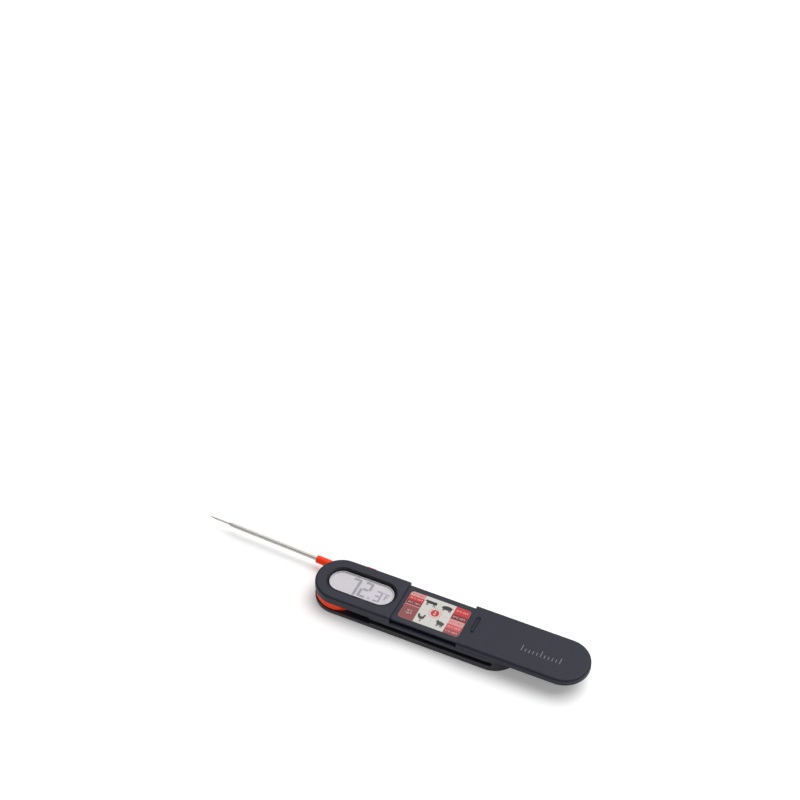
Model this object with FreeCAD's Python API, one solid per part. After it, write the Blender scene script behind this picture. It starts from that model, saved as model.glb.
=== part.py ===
import FreeCAD, Part
import math
import os

# Folding meat thermometer, in millimetres.
# Origin: on the probe's pivot axis, in the plane that the body rests on.
# +X runs from the pivot along the body towards the sliding handle, +Z is up,
# and +Y is the side that carries the push button.
# The probe is drawn swung out and the handle is drawn slid out.

V = FreeCAD.Vector
X_AXIS = V(1, 0, 0)
Y_AXIS = V(0, 1, 0)
Z_AXIS = V(0, 0, 1)
BIG = 400.0

# ---- body shells ----------------------------------------------------------
body_radius = 20.0          # half the width, and the radius of both round ends
body_end_x = 125.5          # centre of the round end away from the pivot
bottom_chamfer = 0.5
parting_z = 7.4             # where the lower and upper shells meet
shell_wall = 1.6
cavity_radius = 18.2        # inside of the shells, below the ledge
cavity_front_y = -12.0      # the cavity stops behind the probe slot
parting_groove = 0.2

head_top_z = 18.0
top_fillet = 1.8
step_x = 48.5               # the raised head ends here and the tray begins
tray_top_z = 16.5
tray_radius = 17.7
rail_z = 14.8               # underside of the tray's rails
neck_radius = 16.5
ledge_z = 12.6              # the handle's skirt runs along this ledge
tray_cavity_radius = 14.8
tray_cavity_top_z = 15.0

# ---- hub gap and probe slot ----------------------------------------------
hub_floor_z = 3.9
hub_roof_z = 11.1
hub_gap_x = 10.0            # the side walls start here
hub_pocket_radius = 19.5
hub_wall_radius = 21.2      # outside of the wall round the hub
bay_end_x = 32.4            # the folded sleeve parks in this bay
bay_back_y = -13.3
slot_bottom_z = 5.3
slot_top_z = 9.6
slot_back_y = -14.6
slot_end_x = 131.3

# ---- head -----------------------------------------------------------------
plate_top_z = 12.1
plate_radius = 18.2
plate_end_x = 31.0
plate_gap = 0.2
head_cavity_radius = 17.4
head_cavity_end_x = 46.9
head_cavity_top_z = 15.4
window_x = (0.6, 32.9)      # centres of the window's round ends
window_radius = 9.7
window_bevel_radius = 12.2
window_step_z = 16.35
lens_radius = 11.3
lens_gap = 0.1
lens_top_z = 16.2
lcd_glass_z = (14.0, 15.1)
lcd_x = (-10.2, 43.7)
lcd_half_width = 10.9
lcd_frame_wall = 0.7
board_z = (12.6, 13.4)
board_x = (9.0, 46.0)
board_half_width = 12.6

# ---- push button ----------------------------------------------------------
button_x = 14.7
button_length = 7.6
button_height = 2.8
button_z = 13.9
button_proud = 1.8
button_gap = 0.12
flange_y = (16.0, 17.0)

# ---- probe ----------------------------------------------------------------
hub_radius = 19.2
hub_z = (4.2, 10.8)
probe_axis_z = 7.5
probe_offset = 16.9         # from the pivot to the probe's own axis
sleeve_radius = 3.1
sleeve_length = 30.7
sleeve_butt = 6.0
sleeve_sweep_radius = 19.95
tube_radius = 1.7
tube_bore_radius = 1.2
tube_start = 8.0
tube_shoulder = 106.2
tip_start = 108.6
tip_radius = 0.8
tip_bore_radius = 0.45
point_start = 121.0
probe_reach = 126.3
point_radius = 0.12
channel_z = (6.9, 8.3)      # the leads' way from the probe to the trunnion
lead_radius = 0.3
probe_open_angle = 182.4    # from folded in its slot to swung out

# ---- pivot ----------------------------------------------------------------
trunnion_radius = 5.0
trunnion_top_z = 13.0
trunnion_bore_radius = 2.0
running_gap = 0.05
bush_radius = 6.0
bush_flange_radius = 7.2
bush_flange_z = 12.4
clip_z = (12.47, 12.73)
clip_inner_radius = 4.55
clip_outer_radius = 6.5
post_radius = 3.2
post_top_z = 6.2
washer_recess_radius = 8.0
washer_recess_z = 3.2
hub_cover_top_z = 5.0
hub_cover_radius = 18.2
seal_groove = (7.3, 8.5)
seal_section = 0.55
detent_ball_radius = 1.25
detent_z = 5.75

# ---- handle ---------------------------------------------------------------
handle_start_x = 102.5
handle_end_x = 179.5        # centre of the handle's round end
handle_travel = 53.8
handle_roof_z = 16.75
skirt_inner_radius = 18.6
skirt_bottom_z = 12.8
runner_inner_y = 16.8
runner_top_z = 14.6
runner_x = (103.0, 178.0)
tooth_length = 3.0
tooth_depth = 1.0
stop_x = 106.2
thumb_rest_x = 108.5        # a shallow recess with a low bar standing in it
thumb_rest_y = 1.8
thumb_recess_width = 3.6
thumb_recess_length = 15.6
thumb_recess_depth = 0.8
thumb_bar_width = 1.6
thumb_bar_length = 13.6
thumb_bar_height = 0.4
leaf_x = 120.0              # centre of the spring that clicks into the handle's roof
leaf_half_length = 9.5
leaf_half_width = 2.8
leaf_z = (15.72, 15.97)
leaf_crown_radius = 3.0
leaf_crown_z = 16.62
leaf_gap = 0.4

# ---- printed guide --------------------------------------------------------
label_x = (52.3, 101.0)
label_half_width = 13.35
label_corner = 2.5
label_z = (16.4, 16.55)
label_gap = 0.2

# ---- battery --------------------------------------------------------------
battery_x = 70.0
battery_y = 3.1
cell_radius = 10.0
cell_z = (2.7, 5.9)
cell_bore_radius = 10.3
holder_radius = 14.9
holder_skirt_radius = 13.6
holder_z = (1.6, 2.6, 6.2, 7.0)
contact_top_z = 8.0
cover_radius = 11.9
cover_z = (0.2, 2.3)
cover_hole_radius = 12.1
lug_radius = 13.3
lug_notch_radius = 13.5
lug_z = 1.75
lug_half_angle = 14.0
notch_half_angle = 17.0
cover_turn = 50.0           # from locked to free, clockwise from above

# ---- screws ---------------------------------------------------------------
housing_screw_places = [(52.0, 12.5), (52.0, -8.5), (95.0, 12.5), (95.0, -8.5), (133.0, 2.0)]
housing_boss_radius = 2.4
housing_head_radius = 2.2
housing_shaft_radius = 1.0
housing_screw_z = (0.3, 1.5, 11.0)
plate_screw_places = [(-15.3, 0.0), (0.0, 14.9), (0.0, -14.9), (27.0, 15.2), (27.0, -15.2)]
plate_boss_radius = 1.9
plate_head_radius = 1.7
plate_shaft_radius = 0.8
plate_screw_z = (11.15, 11.8, 14.6)


# ---- shape helpers --------------------------------------------------------
def box(x_from, x_to, y_from, y_to, z_from, z_to):
    corner = V(x_from, y_from, z_from)
    return Part.makeBox(x_to - x_from, y_to - y_from, z_to - z_from, corner)


def disc(radius, z_from, z_to, x=0.0, y=0.0):
    return Part.makeCylinder(radius, z_to - z_from, V(x, y, z_from), Z_AXIS)


def ring(outer, inner, z_from, z_to, x=0.0, y=0.0):
    return disc(outer, z_from, z_to, x, y).cut(disc(inner, z_from - 1, z_to + 1, x, y))


def rod(radius, x_from, x_to, y, z):
    return Part.makeCylinder(radius, x_to - x_from, V(x_from, y, z), X_AXIS)


def outline(x_from, x_to, radius, z, round_from=True, round_to=True):
    """Closed wire of a bar of width 2 * radius, with round or square ends."""
    low_from, low_to = V(x_from, -radius, z), V(x_to, -radius, z)
    high_from, high_to = V(x_from, radius, z), V(x_to, radius, z)
    edges = [Part.LineSegment(low_from, low_to).toShape()]
    if round_to:
        edges.append(Part.Arc(low_to, V(x_to + radius, 0, z), high_to).toShape())
    else:
        edges.append(Part.LineSegment(low_to, high_to).toShape())
    edges.append(Part.LineSegment(high_to, high_from).toShape())
    if round_from:
        edges.append(Part.Arc(high_from, V(x_from - radius, 0, z), low_from).toShape())
    else:
        edges.append(Part.LineSegment(high_from, low_from).toShape())
    return Part.Wire(edges)


def bar(x_from, x_to, radius, z_from, z_to, round_from=True, round_to=True):
    face = Part.Face(outline(x_from, x_to, radius, z_from, round_from, round_to))
    return face.extrude(V(0, 0, z_to - z_from))


def rounded_plate(x_from, x_to, y_from, y_to, z_from, z_to, corner):
    plate = box(x_from, x_to, y_from, y_to, z_from, z_to)
    upright = [e for e in plate.Edges if e.BoundBox.ZLength > 0.5 * (z_to - z_from)]
    return plate.makeFillet(corner, upright)


def flat_edges(shape, z, skip_square_ends=True):
    """Edges lying at height z, without the straight ones across the body."""
    found = []
    for edge in shape.Edges:
        size = edge.BoundBox
        if abs(size.ZMin - z) > 1e-4 or abs(size.ZMax - z) > 1e-4:
            continue
        if skip_square_ends and size.XLength < 1e-4:
            continue
        found.append(edge)
    return found


def sector(radius, z_from, z_to, middle_angle, half_angle, x, y):
    """Pie slice about a vertical axis, angles in degrees."""
    slice_solid = Part.makeCylinder(radius, z_to - z_from, V(x, y, z_from), Z_AXIS, 2 * half_angle)
    slice_solid.rotate(V(x, y, 0), Z_AXIS, middle_angle - half_angle)
    return slice_solid


def bent_wire(points, radius, bend):
    """Round wire through the points, with an arc of radius bend at each corner."""
    edges = []
    start = points[0]
    for before, corner, after in zip(points, points[1:], points[2:]):
        incoming = (corner - before).normalize()
        outgoing = (after - corner).normalize()
        turn = incoming.getAngle(outgoing)
        reach = bend * math.tan(turn / 2)
        arc_from = corner - incoming * reach
        arc_to = corner + outgoing * reach
        inward = (outgoing - incoming).normalize()
        middle = corner + inward * (bend / math.cos(turn / 2) - bend)
        edges.append(Part.LineSegment(start, arc_from).toShape())
        edges.append(Part.Arc(arc_from, middle, arc_to).toShape())
        start = arc_to
    edges.append(Part.LineSegment(start, points[-1]).toShape())
    path = Part.Wire(edges)
    first_run = points[1] - points[0]
    profile = Part.Wire(Part.makeCircle(radius, points[0], first_run))
    return path.makePipeShell([profile], True, False)


def screw(x, y, head_radius, shaft_radius, heights):
    """Countersunk screw with its head down and a cross recess in it."""
    head_z, neck_z, tip_z = heights
    head = Part.makeCone(head_radius, shaft_radius, neck_z - head_z, V(x, y, head_z), Z_AXIS)
    solid = head.fuse(disc(shaft_radius, neck_z, tip_z, x, y)).removeSplitter()
    arm, half_blade, depth = 0.6 * head_radius, 0.12 * head_radius, 0.5 * (neck_z - head_z)
    for blade in (
        box(x - arm, x + arm, y - half_blade, y + half_blade, head_z - 1, head_z + depth),
        box(x - half_blade, x + half_blade, y - arm, y + arm, head_z - 1, head_z + depth),
    ):
        solid = solid.cut(blade)
    return solid


def screw_hole(x, y, head_radius, shaft_radius, heights):
    head_z, neck_z, tip_z = heights
    sink = Part.makeCone(head_radius, shaft_radius, neck_z - head_z, V(x, y, head_z), Z_AXIS)
    return sink.fuse([disc(shaft_radius, neck_z, tip_z, x, y), disc(head_radius, -1, head_z, x, y)])


def swing_out(shape):
    """Turns a piece drawn with the probe folded in its slot to the swung-out place."""
    shape.rotate(V(0, 0, 0), Z_AXIS, -probe_open_angle)
    return shape


# ---- shared cutters -------------------------------------------------------
def hub_gap():
    """Space between the shells where the hub turns and the folded sleeve parks."""
    open_end = box(-BIG, hub_gap_x, -BIG, BIG, hub_floor_z, hub_roof_z)
    pocket = disc(hub_pocket_radius, hub_floor_z, hub_roof_z)
    bay = box(0, bay_end_x, -BIG, bay_back_y, hub_floor_z, hub_roof_z)
    return open_end.fuse([pocket, bay]).removeSplitter()


def probe_slot():
    """Slot along the front side, with a round end, for the folded probe."""
    half_height = (slot_top_z - slot_bottom_z) / 2
    middle_z = (slot_top_z + slot_bottom_z) / 2
    round_x = slot_end_x - half_height
    straight = box(bay_end_x - 1, round_x, -BIG, slot_back_y, slot_bottom_z, slot_top_z)
    start = V(round_x, slot_back_y, middle_z)
    round_end = Part.makeCylinder(half_height, BIG, start, V(0, -1, 0))
    return straight.fuse(round_end).removeSplitter()


def body_cavity(radius, z_from, z_to):
    """Room inside the shells, behind the slot and beyond the hub's wall."""
    room = bar(0, body_end_x, radius, z_from, z_to)
    room = room.common(box(0, BIG, cavity_front_y, BIG, z_from, z_to))
    return room.cut(disc(hub_wall_radius, z_from - 1, z_to + 1))


def parting_line():
    outside = bar(0, body_end_x, body_radius + 1, parting_z - parting_groove / 2,
                  parting_z + parting_groove / 2)
    return outside.cut(bar(0, body_end_x, body_radius - parting_groove, 0, head_top_z))


# ---- body shells ----------------------------------------------------------
def make_upper_housing():
    lower_part = bar(0, body_end_x, body_radius, parting_z, ledge_z)
    neck = bar(0, body_end_x, neck_radius, ledge_z, rail_z)
    tray = bar(0, body_end_x, tray_radius, rail_z, tray_top_z)
    head = bar(0, step_x, body_radius, ledge_z, head_top_z, round_to=False)
    head = head.makeFillet(top_fillet, flat_edges(head, head_top_z))
    shell = lower_part.fuse([neck, tray, head]).removeSplitter()

    shell = shell.cut(body_cavity(cavity_radius, parting_z - 1, ledge_z - shell_wall))
    shell = shell.cut(body_cavity(tray_cavity_radius, ledge_z - shell_wall - 1, tray_cavity_top_z))
    for x, y in housing_screw_places:
        shell = shell.fuse(disc(housing_boss_radius, parting_z, tray_cavity_top_z + 0.1, x, y))
    shell = shell.cut([hub_gap(), probe_slot(), parting_line()])

    head_cavity = bar(0, head_cavity_end_x, head_cavity_radius, plate_top_z, head_cavity_top_z,
                      round_to=False)
    for x, y in plate_screw_places:
        head_cavity = head_cavity.cut(disc(plate_boss_radius, plate_top_z, head_top_z, x, y))
    plate_seat = bar(0, plate_end_x + plate_gap, plate_radius + plate_gap, hub_roof_z - 1,
                     plate_top_z, round_to=False)
    lens_seat = bar(*window_x, lens_radius + lens_gap, head_cavity_top_z - 1, lens_top_z)
    window = bar(*window_x, window_radius, lens_top_z - 1, window_step_z)
    low_wire = outline(*window_x, window_radius, window_step_z)
    high_wire = outline(*window_x, window_bevel_radius, head_top_z)
    bevel = Part.makeLoft([low_wire, high_wire], True, True)
    shell = shell.cut([head_cavity, plate_seat, lens_seat, window, bevel])

    half_length = button_length / 2 + button_gap
    half_height = button_height / 2 + button_gap
    button_hole = box(button_x - half_length, button_x + half_length, head_cavity_radius - 1,
                      BIG, button_z - half_height, button_z + half_height)
    seal_seat = box(button_x - half_length - 0.5, button_x + half_length + 0.5,
                    head_cavity_radius - 1, head_cavity_radius + 0.8,
                    button_z - half_height, button_z + half_height)
    shell = shell.cut([button_hole, seal_seat])

    label_seat = rounded_plate(label_x[0] - label_gap, label_x[1] + label_gap,
                               -label_half_width - label_gap, label_half_width + label_gap,
                               label_z[0], tray_top_z + 1, label_corner)
    leaf_seat = box(leaf_x - leaf_half_length - leaf_gap, leaf_x + leaf_half_length + leaf_gap,
                    -leaf_half_width - leaf_gap, leaf_half_width + leaf_gap,
                    leaf_z[0] - 0.02, tray_top_z + 1)
    shell = shell.cut([label_seat, leaf_seat])
    for side in (-1, 1):
        inner_y = side * (neck_radius - tooth_depth)
        outer_y = side * (neck_radius + 0.5)
        groove = box(step_x, stop_x, min(inner_y, outer_y), max(inner_y, outer_y), ledge_z, rail_z)
        shell = shell.cut(groove)
    for x, y in housing_screw_places:
        shell = shell.cut(disc(housing_shaft_radius, parting_z - 1, housing_screw_z[2] + 0.5, x, y))
    for x, y in plate_screw_places:
        shell = shell.cut(disc(plate_shaft_radius, plate_top_z - 1, plate_screw_z[2] + 0.2, x, y))
    return shell


def make_lower_housing():
    shell = bar(0, body_end_x, body_radius, 0, parting_z)
    shell = shell.makeChamfer(bottom_chamfer, flat_edges(shell, 0.0))
    shell = shell.cut(body_cavity(cavity_radius, shell_wall, parting_z + 1))
    for x, y in housing_screw_places:
        shell = shell.fuse(disc(housing_boss_radius, shell_wall - 0.1, parting_z, x, y))
    shell = shell.cut([hub_gap(), probe_slot(), parting_line()])
    shell = shell.cut(disc(washer_recess_radius, washer_recess_z, hub_floor_z + 1))
    shell = shell.fuse(disc(post_radius, washer_recess_z - 0.1, post_top_z))

    cover_hole = disc(cover_hole_radius, -1, shell_wall + 1, battery_x, battery_y)
    notches = [sector(lug_notch_radius, -1, shell_wall + 1, angle, notch_half_angle,
                      battery_x, battery_y) for angle in (-cover_turn, 180 - cover_turn)]
    detent_hole = rod(detent_ball_radius + running_gap, hub_pocket_radius - 1,
                      hub_wall_radius + 1, 0, detent_z)
    leaf_groove = box(hub_wall_radius - 0.6, hub_wall_radius + 1, -4.2, 4.2, detent_z - 1.4, parting_z)
    shell = shell.cut([cover_hole] + notches + [detent_hole, leaf_groove])
    for x, y in housing_screw_places:
        heights = (housing_screw_z[0], housing_screw_z[1], parting_z + 1)
        shell = shell.cut(screw_hole(x, y, housing_head_radius, housing_shaft_radius, heights))
    return shell.removeSplitter()


def make_head_floor_plate():
    plate = bar(0, plate_end_x, plate_radius, hub_roof_z, plate_top_z, round_to=False)
    for x in (10.0, 27.5):
        for y in (-12.0, 10.0):
            plate = plate.fuse(box(x, x + 3, y, y + 2, plate_top_z, board_z[0]))
    plate = plate.cut(disc(bush_radius, 0, head_top_z))
    for x, y in plate_screw_places:
        plate = plate.cut(screw_hole(x, y, plate_head_radius, plate_shaft_radius, plate_screw_z))
    return plate.removeSplitter()


# ---- display --------------------------------------------------------------
def make_display_lens():
    return bar(*window_x, lens_radius, head_cavity_top_z, lens_top_z)


def make_lens_gasket():
    outside = bar(*window_x, lens_radius - 0.1, lcd_glass_z[1], head_cavity_top_z)
    inside = bar(*window_x, lens_radius - 1.0, lcd_glass_z[1] - 1, head_cavity_top_z + 1)
    return outside.cut(inside)


def make_lcd_frame():
    inner = (lcd_x[0] - 0.1, lcd_x[1] + 0.1, -lcd_half_width - 0.1, lcd_half_width + 0.1)
    wall = lcd_frame_wall
    outside = box(inner[0] - wall, inner[1] + wall, inner[2] - wall, inner[3] + wall,
                  board_z[1], lcd_glass_z[1])
    return outside.cut(box(*inner, board_z[1] - 1, lcd_glass_z[1] + 1))


def make_lcd_panel():
    return box(*lcd_x, -lcd_half_width, lcd_half_width, *lcd_glass_z)


def make_lcd_reflector():
    return box(lcd_x[0] + 0.5, lcd_x[1] - 0.5, -8.6, 8.6, lcd_glass_z[0] - 0.2, lcd_glass_z[0])


def make_zebra_connector():
    return box(12.0, 40.0, 9.0, 10.6, board_z[1], lcd_glass_z[0])


def make_circuit_board():
    board = box(*board_x, -board_half_width, board_half_width, *board_z)
    switch_tab = box(button_x - 4, button_x + 4, 0, 14.4, *board_z)
    return board.fuse(switch_tab).removeSplitter()


def make_microcontroller():
    middle_x, half_size, leg_reach, leg_count, leg_pitch = 38.5, 2.5, 0.7, 8, 0.5
    body = box(middle_x - half_size, middle_x + half_size, -half_size, half_size,
               board_z[0] - 0.9, board_z[0])
    first_leg_y = -0.5 * leg_pitch * (leg_count - 0.5)
    legs = []
    for step in range(leg_count):
        leg_y = first_leg_y + step * leg_pitch
        for side in (-1, 1):
            inner_x = middle_x + side * half_size
            outer_x = middle_x + side * (half_size + leg_reach)
            legs.append(box(min(inner_x, outer_x), max(inner_x, outer_x),
                            leg_y, leg_y + leg_pitch / 2, board_z[0] - 0.2, board_z[0]))
    return body.fuse(legs).removeSplitter()


def make_board_components():
    chips = []
    for column in range(3):
        for row in range(2):
            x = 34.0 + column * 3.6
            y = (-9.0, 6.5)[row]
            chips.append(box(x, x + 1.6, y, y + 0.8, board_z[0] - 0.6, board_z[0]))
            chips.append(box(x, x + 1.0, y + 2.0, y + 2.5, board_z[0] - 0.4, board_z[0]))
    crystal = rounded_plate(33.5, 34.9, -3.0, 0.2, board_z[0] - 1.2, board_z[0], 0.5)
    return Part.makeCompound(chips + [crystal])


def make_tactile_switch():
    body = box(button_x - 2.3, button_x + 2.3, 11.9, 14.3, board_z[1], 15.2)
    plunger = box(button_x - 1.0, button_x + 1.0, 14.3, 15.2, 13.6, 14.8)
    return body.fuse(plunger)


def make_board_leads():
    ribbon = box(-0.9, 10.8, -0.9, 0.9, board_z[1] + 0.02, board_z[1] + 0.22)
    drop = disc(lead_radius, trunnion_top_z - 0.1, board_z[1] + 0.1)
    return ribbon.fuse(drop)


# ---- push button ----------------------------------------------------------
def make_power_button():
    stem = box(button_x - button_length / 2, button_x + button_length / 2, flange_y[0],
               body_radius + button_proud, button_z - button_height / 2,
               button_z + button_height / 2)
    side_edges = [e for e in stem.Edges if e.BoundBox.YLength > 1]
    stem = stem.makeFillet(0.6, side_edges)
    outer_edges = [e for e in stem.Edges if e.BoundBox.YMin > body_radius]
    stem = stem.makeFillet(0.35, outer_edges)
    flange = box(button_x - button_length / 2 - 1.0, button_x + button_length / 2 + 1.0,
                 *flange_y, button_z - button_height / 2, button_z + button_height / 2 - 0.1)
    return stem.fuse(flange).removeSplitter()


def make_button_seal():
    half_length = button_length / 2 + button_gap
    half_height = button_height / 2 + button_gap
    blocks = []
    for side in (-1, 1):
        inner_x = button_x + side * half_length
        outer_x = button_x + side * (half_length + 0.45)
        blocks.append(box(min(inner_x, outer_x), max(inner_x, outer_x), head_cavity_radius + 0.05,
                          head_cavity_radius + 0.75, button_z - half_height + 0.02,
                          button_z + half_height - 0.02))
    return Part.makeCompound(blocks)


# ---- pivot ----------------------------------------------------------------
def make_pivot_bush():
    collar = ring(bush_radius, trunnion_radius + running_gap, hub_roof_z, plate_top_z)
    flange = ring(bush_flange_radius, trunnion_radius + running_gap, plate_top_z, bush_flange_z)
    return collar.fuse(flange).removeSplitter()


def make_friction_washer():
    return ring(washer_recess_radius - 0.4, post_radius + 1.0, washer_recess_z, hub_floor_z + 0.15)


def make_detent_ball():
    centre_x = hub_radius + running_gap + detent_ball_radius
    return Part.makeSphere(detent_ball_radius, V(centre_x, 0, detent_z))


def make_detent_leaf():
    ball_back_x = hub_radius + running_gap + 2 * detent_ball_radius
    return box(ball_back_x, ball_back_x + 0.3, -4.0, 4.0, detent_z - 1.2, detent_z + 1.2)


# ---- probe, drawn folded and then swung out -------------------------------
def make_probe_hub():
    body = disc(hub_radius, *hub_z)
    body = body.makeFillet(0.4, flat_edges(body, hub_z[0]) + flat_edges(body, hub_z[1]))
    sleeve = rod(sleeve_radius, 0, sleeve_length, -probe_offset, probe_axis_z)
    end_edges = [e for e in sleeve.Edges if e.BoundBox.XMin > sleeve_length - 0.1]
    sleeve = sleeve.makeFillet(0.6, end_edges)
    butt = rod(sleeve_radius, -sleeve_butt, 0, -probe_offset, probe_axis_z)
    butt = butt.common(disc(sleeve_sweep_radius, 0, head_top_z))
    trunnion = disc(trunnion_radius, hub_z[1] - 0.1, trunnion_top_z)
    body = body.fuse([sleeve, butt, trunnion])

    lightening = ring(13.0, 7.6, hub_cover_top_z - 0.1, 9.0)
    for angle in (0, 60, 120):
        web = box(-BIG, BIG, -0.6, 0.6, 0, BIG)
        web.rotate(V(0, 0, 0), Z_AXIS, angle)
        lightening = lightening.cut(web)
    cover_seat = disc(hub_cover_radius + 0.1, 0, hub_cover_top_z)
    post_bore = disc(post_radius + running_gap, 0, post_top_z + 0.2)
    wire_bore = disc(trunnion_bore_radius, channel_z[0], trunnion_top_z + 1)
    near_channel = box(-tube_bore_radius, tube_bore_radius, -trunnion_radius, 0, *channel_z)
    open_z = (hub_cover_top_z - 0.1, channel_z[1] + 0.4)
    far_channel = box(-tube_bore_radius, tube_bore_radius, -probe_offset - 0.9, -trunnion_radius,
                      *open_z)
    turn_room = box(-tube_bore_radius, 6.5, -probe_offset - tube_bore_radius, -11.0, *open_z)
    wire_way = rod(tube_bore_radius, 5.0, tube_start + 1, -probe_offset, probe_axis_z)
    tube_bore = rod(tube_radius, tube_start, sleeve_length + 1, -probe_offset, probe_axis_z)
    seal_seat = ring(seal_groove[1], seal_groove[0], 9.9, hub_z[1] + 1)
    seal_seat = seal_seat.common(disc(BIG, 9.9, hub_z[1] + 0.01))
    clip_seat = ring(trunnion_radius + 1, trunnion_radius - 0.5, clip_z[0] - 0.03, clip_z[1] + 0.03)
    body = body.cut([lightening, cover_seat, post_bore, wire_bore, near_channel, far_channel,
                     turn_room, wire_way, tube_bore, seal_seat, clip_seat])
    for angle in (0.0, probe_open_angle):
        dimple_x = hub_radius + running_gap + detent_ball_radius
        dimple = Part.makeSphere(detent_ball_radius + 0.35, V(dimple_x, 0, detent_z))
        dimple.rotate(V(0, 0, 0), Z_AXIS, angle)
        body = body.cut(dimple)
    return swing_out(body.removeSplitter())


def make_hub_cover():
    cover = ring(hub_cover_radius, post_radius + 0.3, hub_z[0], hub_cover_top_z)
    return swing_out(cover)


def make_hub_seal():
    middle_radius = (seal_groove[0] + seal_groove[1]) / 2
    return Part.makeTorus(middle_radius, seal_section, V(0, 0, 10.47), Z_AXIS)


def make_trunnion_clip():
    clip = ring(clip_outer_radius, clip_inner_radius, *clip_z)
    return clip.cut(box(0, BIG, -1.6, 1.6, 0, BIG))


def make_probe_tube():
    axis_start = V(0, -probe_offset, probe_axis_z)

    def taper(radius_from, radius_to, x_from, x_to):
        start = axis_start + V(x_from, 0, 0)
        if abs(radius_from - radius_to) < 1e-6:
            return Part.makeCylinder(radius_from, x_to - x_from, start, X_AXIS)
        return Part.makeCone(radius_from, radius_to, x_to - x_from, start, X_AXIS)

    outside = taper(tube_radius, tube_radius, tube_start, tube_shoulder)
    outside = outside.fuse([
        taper(tube_radius, tip_radius, tube_shoulder, tip_start),
        taper(tip_radius, tip_radius, tip_start, point_start),
        taper(tip_radius, point_radius, point_start, probe_reach),
    ]).removeSplitter()
    inside = taper(tube_bore_radius, tube_bore_radius, tube_start - 1, tube_shoulder - 0.5)
    inside = inside.fuse([
        taper(tube_bore_radius, tip_bore_radius, tube_shoulder - 0.5, tip_start - 0.5),
        taper(tip_bore_radius, tip_bore_radius, tip_start - 0.5, point_start - 1),
    ])
    return swing_out(outside.cut(inside))


def make_thermistor_bead():
    bead_length = 1.6
    bead = rod(0.4, point_start - 1.1 - bead_length, point_start - 1.1, -probe_offset, probe_axis_z)
    return swing_out(bead.makeFillet(0.3, [e for e in bead.Edges if e.BoundBox.XLength < 0.1]))


def make_sensor_leads():
    points = [
        V(point_start - 2.7, -probe_offset, probe_axis_z),
        V(0, -probe_offset, probe_axis_z),
        V(0, 0, probe_axis_z),
        V(0, 0, trunnion_top_z - 0.2),
    ]
    return swing_out(bent_wire(points, lead_radius, 3.0))


# ---- handle ---------------------------------------------------------------
def make_handle_cover():
    cover = bar(handle_start_x, handle_end_x, body_radius, skirt_bottom_z, head_top_z,
                round_from=False)
    cover = cover.makeFillet(top_fillet, flat_edges(cover, head_top_z))
    hollow = bar(handle_start_x - 1, handle_end_x, skirt_inner_radius, 0, handle_roof_z,
                 round_from=False)
    cover = cover.cut(hollow)
    recess_floor_z = head_top_z - thumb_recess_depth
    recess = thumb_plate(thumb_recess_width, thumb_recess_length, recess_floor_z, head_top_z + 1)
    cover = cover.cut(recess)
    bar_top_z = head_top_z + thumb_bar_height
    thumb_bar = thumb_plate(thumb_bar_width, thumb_bar_length, recess_floor_z - 0.1, bar_top_z)
    thumb_bar = thumb_bar.makeFillet(0.65, flat_edges(thumb_bar, bar_top_z, False))
    cover = cover.fuse(thumb_bar)
    pocket_half_width = leaf_half_width + 0.6
    for x in (leaf_x, leaf_x + handle_travel):
        cover = cover.cut(box(x - 2.0, x + 2.0, -pocket_half_width, pocket_half_width,
                              handle_roof_z - 1, handle_roof_z + 0.3))
    for side in (-1, 1):
        for x in runner_peg_places():
            cover = cover.cut(runner_peg(x, side))
    return cover.removeSplitter()


def thumb_plate(width, length, z_from, z_to):
    """Upright slab with round ends, lying across the handle at the thumb rest."""
    return rounded_plate(thumb_rest_x - width / 2, thumb_rest_x + width / 2,
                         thumb_rest_y - length / 2, thumb_rest_y + length / 2,
                         z_from, z_to, width / 2 - 0.05)


def runner_peg_places():
    return [handle_start_x + 12 + 18 * place for place in range(4)]


def runner_peg(x, side):
    start = V(x, side * (skirt_inner_radius - 0.3), (skirt_bottom_z + runner_top_z) / 2)
    return Part.makeCylinder(0.4, 0.9, start, V(0, side, 0))


def make_handle_runner(side):
    inner, outer = side * runner_inner_y, side * skirt_inner_radius
    strip = box(*runner_x, min(inner, outer), max(inner, outer), skirt_bottom_z, runner_top_z)
    tooth_end = side * (runner_inner_y - tooth_depth)
    tooth = box(runner_x[0], runner_x[0] + tooth_length, min(inner, tooth_end),
                max(inner, tooth_end), skirt_bottom_z, runner_top_z)
    pegs = [runner_peg(x, side) for x in runner_peg_places()]
    return strip.fuse([tooth] + pegs).removeSplitter()


def make_handle_detent_spring():
    strip = box(leaf_x - leaf_half_length, leaf_x + leaf_half_length,
                -leaf_half_width, leaf_half_width, *leaf_z)
    crown_start = V(leaf_x, -leaf_half_width, leaf_crown_z - leaf_crown_radius)
    crown = Part.makeCylinder(leaf_crown_radius, 2 * leaf_half_width, crown_start, Y_AXIS)
    crown = crown.common(box(leaf_x - BIG, leaf_x + BIG, -BIG, BIG, leaf_z[1] - 0.07, BIG))
    return strip.fuse(crown).removeSplitter()


# ---- printed guide --------------------------------------------------------
def make_guide_label():
    return rounded_plate(*label_x, -label_half_width, label_half_width, *label_z, label_corner)


# ---- battery --------------------------------------------------------------
def make_battery_holder():
    floor_z, bore_z, roof_z, top_z = holder_z
    holder = disc(holder_radius, floor_z, top_z, battery_x, battery_y)
    holder = holder.cut(disc(holder_skirt_radius, floor_z - 1, bore_z, battery_x, battery_y))
    holder = holder.cut(disc(cell_bore_radius, bore_z - 1, roof_z, battery_x, battery_y))
    for tab_x in (battery_x - 10.4, battery_x - 6.1):
        holder = holder.cut(box(tab_x, tab_x + 0.6, battery_y - 1.6, battery_y + 1.6, 3.0, BIG))
    return holder


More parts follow.
